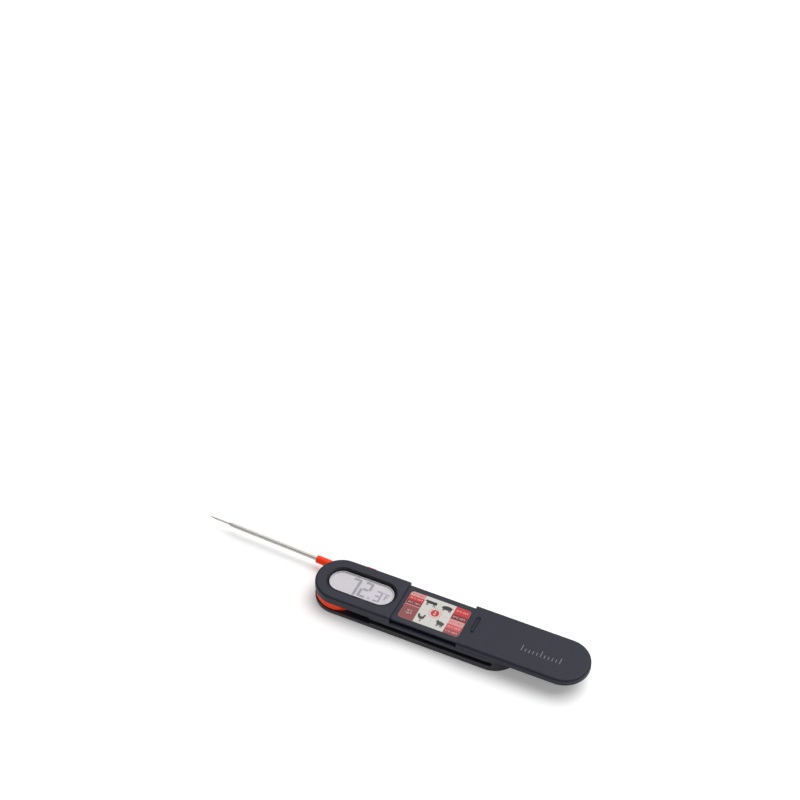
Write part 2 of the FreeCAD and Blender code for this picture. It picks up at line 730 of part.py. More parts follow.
def make_battery_cell():
    can = disc(cell_radius, cell_z[0], cell_z[1] - 0.4, battery_x, battery_y)
    can = can.makeFillet(0.4, flat_edges(can, cell_z[0]))
    cap = disc(cell_radius - 1.2, cell_z[1] - 0.4, cell_z[1], battery_x, battery_y)
    return can.fuse(cap).removeSplitter()


def make_battery_contact_positive():
    band = ring(cell_bore_radius - 0.05, cell_radius + 0.05, 3.0, 5.4, battery_x, battery_y)
    band = band.common(sector(cell_radius + 2, 0, BIG, 180, 35, battery_x, battery_y))
    tab = box(battery_x - 10.3, battery_x - 10.05, battery_y - 1.5, battery_y + 1.5, 3.5,
              contact_top_z)
    return band.fuse(tab).removeSplitter()


def make_battery_contact_negative():
    strip = box(battery_x - 6.0, battery_x + 6.0, battery_y - 1.5, battery_y + 1.5, 5.92, 6.12)
    tab = box(battery_x - 6.0, battery_x - 5.8, battery_y - 1.5, battery_y + 1.5, 5.92,
              contact_top_z)
    return strip.fuse(tab).removeSplitter()


def make_battery_wire(tab_x, side):
    start_y = battery_y + side * 0.8
    run_y, run_z = side * 4.0, 10.2
    board_entry_x = 44.5
    points = [
        V(tab_x, start_y, contact_top_z + 0.05),
        V(tab_x, start_y, run_z),
        V(step_x + 2, run_y, run_z + 0.2),
        V(board_entry_x, run_y, run_z + 0.8),
        V(board_entry_x, run_y, board_z[0]),
    ]
    return bent_wire(points, 0.45, 0.7)


def make_battery_cover():
    cover = disc(cover_radius, *cover_z, battery_x, battery_y)
    cover = cover.makeChamfer(0.3, flat_edges(cover, cover_z[0]))
    for angle in (0, 180):
        lug = sector(lug_radius, lug_z, cover_z[1], angle, lug_half_angle, battery_x, battery_y)
        cover = cover.fuse(lug)
    coin_slot = rounded_plate(battery_x - 7.5, battery_x + 7.5, battery_y - 0.9, battery_y + 0.9,
                              -1, cover_z[0] + 1.1, 0.85)
    dish = ring(9.6, 9.0, -1, cover_z[0] + 0.3, battery_x, battery_y)
    return cover.cut([coin_slot, dish]).removeSplitter()


def make_battery_gasket():
    return ring(11.6, 10.4, cover_z[1] + 0.03, holder_z[1] - 0.03, battery_x, battery_y)


# ---- screws ---------------------------------------------------------------
def make_screws(places, head_radius, shaft_radius, heights):
    return Part.makeCompound([screw(x, y, head_radius, shaft_radius, heights) for x, y in places])


nodes = {
    "upper_housing": make_upper_housing(),
    "lower_housing": make_lower_housing(),
    "head_floor_plate": make_head_floor_plate(),
    "display_lens": make_display_lens(),
    "lens_gasket": make_lens_gasket(),
    "lcd_frame": make_lcd_frame(),
    "lcd_panel": make_lcd_panel(),
    "lcd_reflector": make_lcd_reflector(),
    "zebra_connector": make_zebra_connector(),
    "circuit_board": make_circuit_board(),
    "microcontroller": make_microcontroller(),
    "board_components": make_board_components(),
    "tactile_switch": make_tactile_switch(),
    "board_leads": make_board_leads(),
    "power_button": make_power_button(),
    "button_seal": make_button_seal(),
    "pivot_bush": make_pivot_bush(),
    "friction_washer": make_friction_washer(),
    "detent_ball": make_detent_ball(),
    "detent_leaf": make_detent_leaf(),
    "probe_hub": make_probe_hub(),
    "hub_cover": make_hub_cover(),
    "hub_seal": make_hub_seal(),
    "trunnion_clip": make_trunnion_clip(),
    "probe_tube": make_probe_tube(),
    "thermistor_bead": make_thermistor_bead(),
    "sensor_leads": make_sensor_leads(),
    "handle_cover": make_handle_cover(),
    "handle_runner_back": make_handle_runner(1),
    "handle_runner_front": make_handle_runner(-1),
    "handle_detent_spring": make_handle_detent_spring(),
    "guide_label": make_guide_label(),
    "battery_holder": make_battery_holder(),
    "battery_cell": make_battery_cell(),
    "battery_contact_positive": make_battery_contact_positive(),
    "battery_contact_negative": make_battery_contact_negative(),
    "battery_wire_red": make_battery_wire(battery_x - 10.2, 1),
    "battery_wire_black": make_battery_wire(battery_x - 5.9, -1),
    "battery_cover": make_battery_cover(),
    "battery_gasket": make_battery_gasket(),
    "housing_screws": make_screws(housing_screw_places, housing_head_radius,
                                  housing_shaft_radius, housing_screw_z),
    "plate_screws": make_screws(plate_screw_places, plate_head_radius,
                                plate_shaft_radius, plate_screw_z),
}

os.makedirs("parts", exist_ok=True)
for name, shape in nodes.items():
    print(name, len(shape.Solids), "solid(s)", round(shape.Volume, 2), "mm3", shape.isValid())
    shape.exportStep("parts/" + name + ".step")
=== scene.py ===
import math

import bmesh
import bpy
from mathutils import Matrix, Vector


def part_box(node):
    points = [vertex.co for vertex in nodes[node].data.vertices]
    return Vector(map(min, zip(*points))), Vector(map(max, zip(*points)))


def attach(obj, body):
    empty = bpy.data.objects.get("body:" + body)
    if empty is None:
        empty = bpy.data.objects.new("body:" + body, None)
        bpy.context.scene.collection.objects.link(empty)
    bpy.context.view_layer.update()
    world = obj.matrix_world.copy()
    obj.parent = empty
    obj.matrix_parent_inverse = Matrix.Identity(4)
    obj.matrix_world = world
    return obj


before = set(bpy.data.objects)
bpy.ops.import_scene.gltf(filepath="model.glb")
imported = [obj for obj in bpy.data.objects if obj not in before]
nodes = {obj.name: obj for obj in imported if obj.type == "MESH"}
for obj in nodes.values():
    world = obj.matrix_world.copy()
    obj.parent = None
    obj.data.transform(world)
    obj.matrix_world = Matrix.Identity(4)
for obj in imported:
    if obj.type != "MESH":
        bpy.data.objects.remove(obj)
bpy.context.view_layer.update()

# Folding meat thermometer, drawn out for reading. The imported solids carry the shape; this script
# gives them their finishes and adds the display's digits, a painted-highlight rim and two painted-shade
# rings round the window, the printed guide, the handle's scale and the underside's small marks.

MM = 0.001


def box_mm(node):
    """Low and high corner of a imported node's box, in millimetres."""
    return [[value / MM for value in corner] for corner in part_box(node)]


def top_of(node):
    """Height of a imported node's upper face, in millimetres."""
    return box_mm(node)[1][2]


def middle_of(node):
    """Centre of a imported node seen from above, in millimetres."""
    low, high = box_mm(node)
    return (low[0] + high[0]) / 2, (low[1] + high[1]) / 2


# ---------------------------------------------------------------- colours


def linear(red, green, blue):
    """Linear colour from 0-255 display values, by the sRGB curve."""
    def channel(value):
        share = value / 255
        return share / 12.92 if share <= 0.04045 else ((share + 0.055) / 1.055) ** 2.4
    return (channel(red), channel(green), channel(blue), 1.0)


def scaled(colour, factor):
    """The same colour, lighter or darker."""
    return (colour[0] * factor, colour[1] * factor, colour[2] * factor, 1.0)


# The lamps show a print brighter than its colour is, so its colour is darkened by this factor.
LIT_SHARE = 0.73


def printed(red, green, blue):
    """Linear colour of a print that is lit brightly enough to show the display values given."""
    return scaled(linear(red, green, blue), LIT_SHARE)


def grey(value):
    """Neutral linear colour."""
    return (value, value, value, 1)


# ---------------------------------------------------------------- materials

# Nearly all of a noise pattern lies between these two values.
NOISE_LOW, NOISE_HIGH = 0.3, 0.7
BEVEL_SAMPLES = 4
# How far the rounded and the flat normal's product falls from 1 where an edge counts in full.
FULL_EDGE = 0.12


class Recipe:
    """One Principled material, with short ways to add the nodes that vary it."""

    def __init__(self, name, **constants):
        self.material = bpy.data.materials.new(name)
        self.material.use_nodes = True
        self.tree = self.material.node_tree
        self.shader = self.tree.nodes["Principled BSDF"]
        self.place = self.tree.nodes.new("ShaderNodeTexCoord").outputs["Object"]
        for socket, value in constants.items():
            self.shader.inputs[socket.replace("_", " ")].default_value = value

    def node(self, kind, inputs=(), **settings):
        """A node whose settings and inputs are given; an input may be a value or a socket."""
        made = self.tree.nodes.new("ShaderNode" + kind)
        for key, value in settings.items():
            setattr(made, key, value)
        for key, value in dict(inputs).items():
            if isinstance(value, bpy.types.NodeSocket):
                self.tree.links.new(value, made.inputs[key])
            else:
                made.inputs[key].default_value = value
        return made

    def noise(self, size, detail=2.0, stretch=(1, 1, 1)):
        """Cloudy pattern of a size in millimetres, drawn out along an axis by stretch."""
        scale = [1 / (size * MM * part) for part in stretch]
        mapped = self.node("Mapping", {"Vector": self.place, "Scale": scale})
        return self.node("TexNoise", {"Vector": mapped.outputs[0], "Scale": 1.0, "Detail": detail}).outputs[0]

    def cells(self, size):
        """Cellular pattern of a size in millimetres: the distance to the nearest cell's middle."""
        inputs = {"Vector": self.place, "Scale": 1 / (size * MM)}
        return self.node("TexVoronoi", inputs).outputs["Distance"]

    def remap(self, value, low, high, to_low=0.0, to_high=1.0):
        """The value's range moved onto another, and held there."""
        inputs = {"Value": value, "From Min": low, "From Max": high, "To Min": to_low, "To Max": to_high}
        return self.node("MapRange", inputs).outputs[0]

    def wander(self, pattern, low=0.0, high=1.0):
        """A value that a noise pattern carries from low to high."""
        return self.remap(pattern, NOISE_LOW, NOISE_HIGH, low, high)

    def times(self, first, second):
        """Product of two values."""
        return self.node("Math", {0: first, 1: second}, operation="MULTIPLY").outputs[0]

    def plus(self, first, second):
        """Sum of two values."""
        return self.node("Math", {0: first, 1: second}, operation="ADD").outputs[0]

    def blend(self, share, first, second):
        """Colour between two, by share."""
        made = self.node("Mix", {0: share, 6: first, 7: second}, data_type="RGBA")
        return made.outputs[2]

    def tone(self, share, colour, darkest, lightest):
        """Colour that goes by share from its darkest to its lightest, each a factor."""
        return self.blend(share, scaled(colour, darkest), scaled(colour, lightest))

    def soft_normal(self, radius):
        """Normal rounded over the edges, as a moulding or a stamping has it."""
        return self.node("Bevel", {"Radius": radius * MM}, samples=BEVEL_SAMPLES).outputs[0]

    def edges(self, radius):
        """Share from 0 on flats to 1 on edges, from how far the rounded normal turns."""
        flat = self.node("NewGeometry").outputs["Normal"]
        turn = self.node("VectorMath", {0: self.soft_normal(radius), 1: flat}, operation="DOT_PRODUCT")
        return self.remap(turn.outputs["Value"], 1.0 - FULL_EDGE, 1.0, 1.0, 0.0)

    def relief(self, height, depth, normal=None):
        """Bump of a depth in millimetres."""
        inputs = {"Height": height, "Distance": depth * MM, "Strength": 1.0}
        if normal is not None:
            inputs["Normal"] = normal
        return self.node("Bump", inputs).outputs[0]

    def finish(self, **sockets):
        """Links the worked-out values to the shader and gives the material back."""
        for socket, value in sockets.items():
            self.tree.links.new(value, self.shader.inputs[socket.replace("_", " ")])
        return self.material


def moulded_plastic(name, colour, worn, roughness, grain=0.25, depth=0.012, wear=0.5, specular=0.36):
    """Spark-textured moulding: fine grain, faint handling marks, edges rubbed smoother and paler."""
    recipe = Recipe(name, Specular_IOR_Level=specular)
    clouds = recipe.noise(size=14.0, detail=3.0)
    patches = recipe.noise(size=2.2, detail=4.0)
    fine = recipe.noise(size=grain, detail=3.0)
    pits = recipe.cells(size=grain * 1.6)
    scuffs = recipe.noise(size=1.1, detail=4.0)
    rubbed = recipe.times(recipe.edges(radius=0.3), recipe.remap(scuffs, 0.4, 0.65))
    base = recipe.tone(recipe.remap(clouds, 0.35, 0.65), colour, 0.93, 1.07)
    base = recipe.blend(recipe.times(recipe.remap(fine, 0.45, 0.75), 0.25), base, scaled(colour, 1.35))
    base = recipe.blend(recipe.times(rubbed, wear), base, worn)
    rough = recipe.wander(patches, roughness - 0.05, roughness + 0.05)
    rough = recipe.plus(rough, recipe.times(rubbed, -0.08))
    grit = recipe.plus(fine, recipe.times(pits, 0.6))
    normal = recipe.relief(grit, depth, recipe.soft_normal(radius=0.15))
    return recipe.finish(Base_Color=base, Roughness=rough, Normal=normal)


def ground_metal(name, colour, roughness, stretch=(40, 1, 1), line=0.05, depth=0.002):
    """Ground or turned metal: fine lines along one axis, cloudy smears, brighter edges."""
    recipe = Recipe(name, Metallic=1.0)
    lines = recipe.noise(size=line, stretch=stretch)
    smears = recipe.noise(size=4.0, detail=4.0, stretch=(3, 1, 1))
    base = recipe.tone(recipe.wander(lines), colour, 0.86, 1.06)
    base = recipe.blend(recipe.times(recipe.edges(radius=0.2), 0.5), base, scaled(colour, 1.25))
    rough = recipe.plus(recipe.wander(smears, roughness - 0.05, roughness + 0.07),
                        recipe.wander(lines, -0.04, 0.04))
    normal = recipe.relief(lines, depth, recipe.soft_normal(radius=0.08))
    return recipe.finish(Base_Color=base, Roughness=rough, Normal=normal)


def turned_steel(name, colour, centre):
    """Stamped and turned steel, with rings about a centre in millimetres."""
    recipe = Recipe(name, Metallic=1.0)
    rings_per_metre = 900.0
    to_centre = (-centre[0] * MM, -centre[1] * MM, 0)
    shifted = recipe.node("Mapping", {"Vector": recipe.place, "Location": to_centre}).outputs[0]
    rings = recipe.node("TexWave", {"Vector": shifted, "Scale": rings_per_metre, "Distortion": 1.5},
                        wave_type="RINGS", rings_direction="Z").outputs[1]
    smears = recipe.noise(size=3.0, detail=4.0)
    base = recipe.tone(rings, colour, 0.92, 1.05)
    rough = recipe.wander(smears, 0.24, 0.38)
    normal = recipe.relief(rings, depth=0.002, normal=recipe.soft_normal(radius=0.1))
    return recipe.finish(Base_Color=base, Roughness=rough, Normal=normal)


def rubber(name, colour, roughness=0.7):
    """Moulded elastomer: matt, faintly bloomed, with a very fine tooth."""
    recipe = Recipe(name, Specular_IOR_Level=0.35)
    bloom = recipe.noise(size=3.5, detail=4.0)
    tooth = recipe.noise(size=0.12)
    base = recipe.tone(recipe.remap(bloom, 0.4, 0.7), colour, 1.0, 1.5)
    rough = recipe.wander(bloom, roughness - 0.08, roughness + 0.08)
    normal = recipe.relief(tooth, depth=0.008, normal=recipe.soft_normal(radius=0.12))
    return recipe.finish(Base_Color=base, Roughness=rough, Normal=normal)


def clear_plastic(name):
    """Clear moulded window: light on its way to the display below passes straight through."""
    recipe = Recipe(name, Transmission_Weight=1.0, IOR=1.49, Specular_IOR_Level=0.5)
    haze = recipe.noise(size=6.0, detail=4.0)
    scuffs = recipe.noise(size=0.08, stretch=(25, 1, 1))
    base = recipe.blend(haze, (0.985, 0.985, 0.99, 1), grey(1))
    rough = recipe.plus(recipe.remap(haze, 0.4, 0.75, 0.02, 0.06), recipe.remap(scuffs, 0.68, 0.8, 0.0, 0.05))
    recipe.finish(Base_Color=base, Roughness=rough, Normal=recipe.relief(haze, depth=0.004))
    through = recipe.node("BsdfTransparent").outputs[0]
    path = recipe.node("LightPath")
    surface = recipe.shader.outputs[0]
    for ray in ("Is Diffuse Ray", "Is Shadow Ray"):
        surface = recipe.node("MixShader", {0: path.outputs[ray], 1: surface, 2: through}).outputs[0]
    recipe.tree.links.new(surface, recipe.tree.nodes["Material Output"].inputs["Surface"])
    return recipe.material


def display_glass(name, colour):
    """Reflective liquid crystal: a pearly ground with a fine sparkle and a faint rubbing direction."""
    recipe = Recipe(name, Specular_IOR_Level=0.3)
    sparkle = recipe.cells(size=0.09)
    rubbing = recipe.noise(size=9.0, stretch=(1, 3, 1))
    base = recipe.tone(recipe.wander(rubbing), colour, 0.97, 1.02)
    base = recipe.blend(recipe.times(sparkle, 0.12), base, scaled(colour, 0.82))
    rough = recipe.remap(sparkle, 0.0, 0.8, 0.42, 0.55)
    return recipe.finish(Base_Color=base, Roughness=rough, Normal=recipe.relief(sparkle, depth=0.002))


def printed_film(name, colour, roughness=0.42):
    """Ink on a laminated film: a little mottle, a satin film with a fine tooth."""
    recipe = Recipe(name, Specular_IOR_Level=0.35)
    mottle = recipe.noise(size=0.5, detail=4.0)
    waves = recipe.noise(size=7.0)
    tooth = recipe.noise(size=0.1)
    base = recipe.tone(recipe.remap(mottle, 0.35, 0.7), colour, 0.95, 1.05)
    rough = recipe.wander(waves, roughness - 0.06, roughness + 0.06)
    return recipe.finish(Base_Color=base, Roughness=rough, Normal=recipe.relief(tooth, depth=0.003))


def circuit_laminate(name, colour):
    """Solder mask over tracks: paler lines where the copper lies under the mask."""
    recipe = Recipe(name, Specular_IOR_Level=0.5)
    weave = recipe.cells(size=0.5)
    tracks_per_metre = 260.0
    tracks = recipe.node("TexBrick", {"Vector": recipe.place, "Scale": tracks_per_metre, "Mortar Size": 0.06,
                                      "Color1": colour, "Color2": scaled(colour, 0.85),
                                      "Mortar": scaled(colour, 2.2)}).outputs[0]
    base = recipe.blend(recipe.times(weave, 0.3), tracks, scaled(colour, 0.6))
    rough = recipe.remap(weave, 0.0, 0.7, 0.28, 0.42)
    normal = recipe.relief(weave, depth=0.01, normal=recipe.soft_normal(radius=0.05))
    return recipe.finish(Base_Color=base, Roughness=rough, Normal=normal)


CHARCOAL = (0.0104, 0.0120, 0.0250, 1)
WORN_CHARCOAL = scaled(CHARCOAL, 2.2)
NEAR_BLACK = (0.0205, 0.0195, 0.0260, 1)
WORN_BLACK = scaled(NEAR_BLACK, 2.6)
ORANGE = (0.97, 0.054, 0.012, 1)
WORN_ORANGE = (0.9, 0.12, 0.05, 1)
STEEL = (0.68, 0.655, 0.615, 1)
CELL_STEEL = (0.66, 0.65, 0.63, 1)
BRASS = (0.78, 0.55, 0.24, 1)

charcoal = moulded_plastic("charcoal_moulding", CHARCOAL, WORN_CHARCOAL, roughness=0.52)
charcoal_slide = moulded_plastic("charcoal_slide_moulding", CHARCOAL, WORN_CHARCOAL, roughness=0.52,
                                 specular=0.3)
shell_black = moulded_plastic("black_moulding", NEAR_BLACK, WORN_BLACK, roughness=0.46, grain=0.3)
orange = moulded_plastic("orange_moulding", ORANGE, WORN_ORANGE, roughness=0.4, grain=0.35, depth=0.006,
                         wear=0.35, specular=0.15)
chip_plastic = moulded_plastic("chip_moulding", grey(0.012), grey(0.06), roughness=0.6, grain=0.12)
slide_plastic = moulded_plastic("slide_moulding", (0.035, 0.035, 0.037, 1), grey(0.12), roughness=0.35,
                                depth=0.004)
bead_resin = moulded_plastic("bead_resin", (0.03, 0.02, 0.012, 1), (0.08, 0.05, 0.03, 1), roughness=0.2,
                             depth=0.003)
ground_steel = ground_metal("ground_steel", STEEL, roughness=0.5)
bright_steel = ground_metal("bright_steel", scaled(STEEL, 0.95), roughness=0.22, stretch=(1, 1, 6), line=0.08)
cell_steel = turned_steel("cell_steel", CELL_STEEL, middle_of("battery_cell"))
brass = ground_metal("turned_brass", BRASS, roughness=0.25, stretch=(1, 1, 8), line=0.08)
black_rubber = rubber("black_rubber", grey(0.012))
pink_rubber = rubber("zebra_rubber", (0.62, 0.24, 0.26, 1), roughness=0.55)
window = clear_plastic("clear_window")
lcd_ground = display_glass("lcd_ground", linear(192, 187, 193))
reflector = display_glass("lcd_reflector", linear(205, 205, 205))
board = circuit_laminate("green_laminate", (0.012, 0.12, 0.035, 1))
grey_lead = rubber("grey_insulation", (0.28, 0.28, 0.29, 1), roughness=0.5)
red_lead = rubber("red_insulation", (0.55, 0.02, 0.02, 1), roughness=0.5)
black_lead = rubber("black_insulation", grey(0.02), roughness=0.5)
cream_film = printed_film("cream_film", linear(199, 195, 190))

finishes = {
    charcoal: ("upper_housing",),
    charcoal_slide: ("handle_cover",),
    shell_black: ("lower_housing", "head_floor_plate", "battery_cover", "battery_holder", "lcd_frame"),
    orange: ("probe_hub", "hub_cover", "power_button"),
    ground_steel: ("probe_tube",),
    bright_steel: ("trunnion_clip", "friction_washer", "detent_ball", "detent_leaf", "housing_screws",
                   "plate_screws", "handle_detent_spring", "battery_contact_positive",
                   "battery_contact_negative"),
    cell_steel: ("battery_cell",),
    brass: ("pivot_bush",),
    black_rubber: ("lens_gasket", "button_seal", "hub_seal", "battery_gasket"),
    pink_rubber: ("zebra_connector",),
    window: ("display_lens",),
    lcd_ground: ("lcd_panel",),
    reflector: ("lcd_reflector",),
    board: ("circuit_board",),
    chip_plastic: ("microcontroller", "board_components", "tactile_switch"),
    bead_resin: ("thermistor_bead",),
    slide_plastic: ("handle_runner_back", "handle_runner_front"),
    grey_lead: ("board_leads", "sensor_leads"),
    red_lead: ("battery_wire_red",),
    black_lead: ("battery_wire_black",),
    cream_film: ("guide_label",),
}
for material, names in finishes.items():
    for name in names:
        for holder in nodes[name].material_slots:
            holder.material = material


# ---------------------------------------------------------------- outlines, in millimetres


def around(x, y, radius, degrees):
    """Point at an angle about a centre."""
    turn = math.radians(degrees)
    return (x + radius * math.cos(turn), y + radius * math.sin(turn))


def arc(x, y, radius, start, end, steps):
    """Points along an arc, angles in degrees."""
    return [around(x, y, radius, start + (end - start) * i / steps) for i in range(steps + 1)]


def disc(x, y, radius, steps=28):
    """Full circle."""
    return arc(x, y, radius, 0, 360, steps)[:-1]


def ring(x, y, outer, inner, steps):
    """Flat ring as one outline, out along one circle and back along the other."""
    return arc(x, y, outer, 0, 360, steps) + arc(x, y, inner, 360, 0, steps)


def stadium(start_x, end_x, middle_y, radius, steps=24):
    """Two half circles joined by straight sides."""
    return arc(end_x, middle_y, radius, -90, 90, steps) + arc(start_x, middle_y, radius, 90, 270, steps)


def rounded_box(left, low, right, high, radii=(0, 0, 0, 0), steps=8):
    """Rectangle whose corners, from low left round through low right, have their own radii."""
    corners = ((left, low, 1, 1, 180), (right, low, -1, 1, 270),
               (right, high, -1, -1, 0), (left, high, 1, -1, 90))
    outline = []
    for (x, y, inward_x, inward_y, start), radius in zip(corners, radii):
        if radius > 0:
            outline += arc(x + inward_x * radius, y + inward_y * radius, radius, start, start + 90, steps)
        else:
            outline.append((x, y))
    return outline


def bar(start, end, width, steps=4):
    """Straight stroke with round ends."""
    heading = math.degrees(math.atan2(end[1] - start[1], end[0] - start[0]))
    return (arc(*end, width / 2, heading - 90, heading + 90, steps)
            + arc(*start, width / 2, heading + 90, heading + 270, steps))


def smooth_loop(points, steps=4):
    """Closed curve through the points, as a Catmull-Rom spline."""
    count = len(points)
    outline = []
    for i in range(count):
        before, here, after, beyond = (points[(i + k) % count] for k in (-1, 0, 1, 2))
        for step in range(steps):
            t = step / steps
            outline.append(tuple(
                0.5 * (2 * b + (c - a) * t + (2 * a - 5 * b + 4 * c - d) * t ** 2
                       + (3 * b - a - 3 * c + d) * t ** 3)
                for a, b, c, d in zip(before, here, after, beyond)))
    return outline


def fitted(points, left, low, width, height):
    """Outline moved and scaled so that its box is the one given."""
    xs = [x for x, y in points]
    ys = [y for x, y in points]
    across = width / (max(xs) - min(xs))
    upward = height / (max(ys) - min(ys))
    return [(left + (x - min(xs)) * across, low + (y - min(ys)) * upward) for x, y in points]


# ---------------------------------------------------------------- pieces

# Vertices of a numeral closer together than this, in metres, are one.
SAME_PLACE = 1e-7


def add_piece(name, work, material, body):
    """Piece made from the bmesh, with its faces turned outward, riding on a body."""
    bmesh.ops.recalc_face_normals(work, faces=work.faces)
    mesh = bpy.data.meshes.new(name)
    work.to_mesh(mesh)
    work.free()
    piece = bpy.data.objects.new(name, mesh)
    bpy.context.collection.objects.link(piece)
    mesh.materials.append(material)
    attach(piece, body)


def join_loops(work, loops):
    """Faces between each loop of vertices and the next."""
    for loop, following in zip(loops, loops[1:]):
        for i in range(len(loop)):
            work.faces.new((loop[i - 1], loop[i], following[i], following[i - 1]))


def plates(name, outlines, low, high, material, body):
    """One piece of flat plates, each a closed outline raised from low to high."""
    work = bmesh.new()
    for outline in outlines:
        lower, upper = ([work.verts.new((x * MM, y * MM, z * MM)) for x, y in outline] for z in (low, high))
        work.faces.new(lower[::-1])
        work.faces.new(upper)
        join_loops(work, [lower, upper])
    add_piece(name, work, material, body)


def lettering(name, lines, low, thickness, material, body):
    """Lines of numerals as one piece. Each line is (text, centre x, centre y, size)."""
    work = bmesh.new()
    for text, x, y, size in lines:
        curve = bpy.data.curves.new(name + "_line", "FONT")
        curve.body = text
        curve.size = size * MM
        curve.align_x = "CENTER"
        curve.align_y = "CENTER"
        curve.extrude = thickness * MM / 2
        curve.resolution_u = 2
        line = bpy.data.objects.new(name + "_line", curve)
        bpy.context.collection.objects.link(line)
        bpy.context.view_layer.update()
        mesh = bpy.data.meshes.new_from_object(line.evaluated_get(bpy.context.evaluated_depsgraph_get()))
        for vertex in mesh.vertices:
            vertex.co += Vector((x, y, low + thickness / 2)) * MM
        work.from_mesh(mesh)
        bpy.data.objects.remove(line)
        bpy.data.curves.remove(curve)
        bpy.data.meshes.remove(mesh)
    bmesh.ops.remove_doubles(work, verts=work.verts, dist=SAME_PLACE)
    add_piece(name, work, material, body)


# ---------------------------------------------------------------- display

# Seven-segment figures on the glass, under the window.
SEGMENTS_OF = {"7": "abc", "2": "abged", "3": "abgcd"}
# Each figure with its left, low, right and high side, the width of its bars and the height of its waist.
FIGURES = (
    ("7", 5.4, -8.4, 14.2, 7.7, 2.1, 0.0),
    ("2", 15.6, -7.9, 24.1, 7.7, 2.0, 0.0),
    ("3", 27.1, -7.4, 33.6, 3.1, 1.4, -2.1),
)
SEGMENT_GAP = 0.25
CHAMFER_SHARE = 0.35
# Left, low, right and high side of the decimal point.
POINT_SIDES = (24.4, -7.3, 25.9, -5.8)
# Centre, outer and inner radius of the degree ring.
DEGREE_RING = (34.6, 2.7, 0.72, 0.36)
F_OUTLINE = [(35.9, -3.5), (37.0, -3.5), (37.0, -0.8), (38.6, -0.8), (38.6, 0.2), (37.0, 0.2), (37.0, 1.6),
             (39.2, 1.6), (39.2, 2.7), (35.9, 2.7)]
# The figures' lower and upper face above the glass.
FIGURE_LIFT, FIGURE_TOP = 0.005, 0.03


def segments(left, low, right, high, width, waist):
    """The bars of one figure by letter: square level bars between chamfered uprights.

    The upper left bar, f, is dark in every figure here and is left out.
    """
    chamfer = CHAMFER_SHARE * width
    half_gap = SEGMENT_GAP / 2
    west, east = left + width, right - width

    def level(bottom, top):
        """A level bar."""
        return rounded_box(west + SEGMENT_GAP, bottom, east - SEGMENT_GAP, top)

    def upright(outer, inner, bottom, top):
        """A side bar whose outer corner is taken off at the figure's top or bottom."""
        middle = (outer + inner) / 2
        if bottom == low:
            return [(outer, bottom + chamfer), (middle, bottom), (inner, bottom), (inner, top - half_gap),
                    (outer, top - half_gap)]
        return [(outer, bottom + half_gap), (inner, bottom + half_gap), (inner, top), (middle, top),
                (outer, top - chamfer)]

    return {"a": level(high - width, high), "g": level(waist - width / 2, waist + width / 2),
            "d": level(low, low + width), "b": upright(right, east, waist, high),
            "c": upright(right, east, low, waist), "e": upright(left, west, low, waist)}


def build_display():
    """The reading: three figures, a point, a degree ring and an F."""
    figure_ink = printed_film("lcd_ink", linear(128, 128, 138), roughness=0.5)
    shown = []
    for figure, *sizes in FIGURES:
        bars = segments(*sizes)
        shown += [bars[letter] for letter in SEGMENTS_OF[figure]]
    shown += [rounded_box(*POINT_SIDES), F_OUTLINE, ring(*DEGREE_RING, steps=16)]
    glass = top_of("lcd_panel")
    plates("lcd_figures", shown, glass + FIGURE_LIFT, glass + FIGURE_TOP, figure_ink, "housing")


# ---------------------------------------------------------------- window

# A pale ring on the lens is a painted highlight on its rim. Two near-black rings lie on the bevel round it as
# painted shade.
# The radii are those of the window's round ends.
WINDOW_RADIUS = 9.64
EDGE_WIDTH = 0.32
EDGE_LIFT, EDGE_THICKNESS = 0.01, 0.04
INNER_SHADE_RADII = (9.72, 10.9)
OUTER_SHADE_RADII = (10.95, 12.1)
# Height of the bevel at the window, and how much it rises for each millimetre outward.
BEVEL_FOOT = 16.35
BEVEL_RISE = 0.66
# The two painted-shade rings sink into the bevel by a little, and stand out of it by the rest.
RING_SINK, RING_THICKNESS = 0.02, 0.06


def window_ring(name, inner, outer, inner_z, outer_z, thickness, material, slot):
    """Band round the window between two radii, level or sloping, as one closed solid."""
    (left, front, _), (right, back, _) = box_mm("display_lens")
    middle_y = (front + back) / 2
    lens_radius = (back - front) / 2
    start_x, end_x = left + lens_radius, right - lens_radius
    work = bmesh.new()
    loops = []
    for radius, z in ((inner, inner_z), (outer, outer_z), (outer, outer_z + thickness),
                      (inner, inner_z + thickness)):
        outline = stadium(start_x, end_x, middle_y, radius)
        loops.append([work.verts.new((x * MM, y * MM, z * MM)) for x, y in outline])
    join_loops(work, loops + loops[:1])
    add_piece(name, work, material, "housing")


def build_window_rings():
    """The pale rim on the lens, a painted highlight, and the two dark rings on the bevel, painted shade."""
    # Painted highlight: a flat pale ring on the lens stands in for the light on its rim.
    rim_highlight = printed_film("lens_rim_painted_highlight", linear(222, 220, 223), roughness=0.3)
    rim_z = top_of("display_lens") + EDGE_LIFT
    window_ring("lens_rim_highlight", WINDOW_RADIUS - EDGE_WIDTH, WINDOW_RADIUS, rim_z, rim_z, EDGE_THICKNESS,
                rim_highlight, "clear_lens")
    # Painted shade: two near-black rings laid on the bevel darken it as if it lay in shade.
    inner_painted_shade = moulded_plastic("bevel_inner_painted_shade", (0.0035, 0.0035, 0.0045, 1), (0.02, 0.02, 0.022, 1),
                                roughness=0.62, specular=0.15)
    outer_painted_shade = moulded_plastic("bevel_outer_painted_shade", (0.0072, 0.0074, 0.0100, 1), (0.03, 0.03, 0.034, 1),
                                 roughness=0.5, specular=0.28)
    for name, radii, material, slot in (("window_inner_shade_ring", INNER_SHADE_RADII, inner_painted_shade, "black_rubber"),
                                        ("window_outer_shade_ring", OUTER_SHADE_RADII, outer_painted_shade, "black_plastic")):
        heights = [BEVEL_FOOT + (radius - WINDOW_RADIUS) * BEVEL_RISE - RING_SINK for radius in radii]
        window_ring(name, *radii, *heights, RING_THICKNESS, material, slot)


# ---------------------------------------------------------------- guide

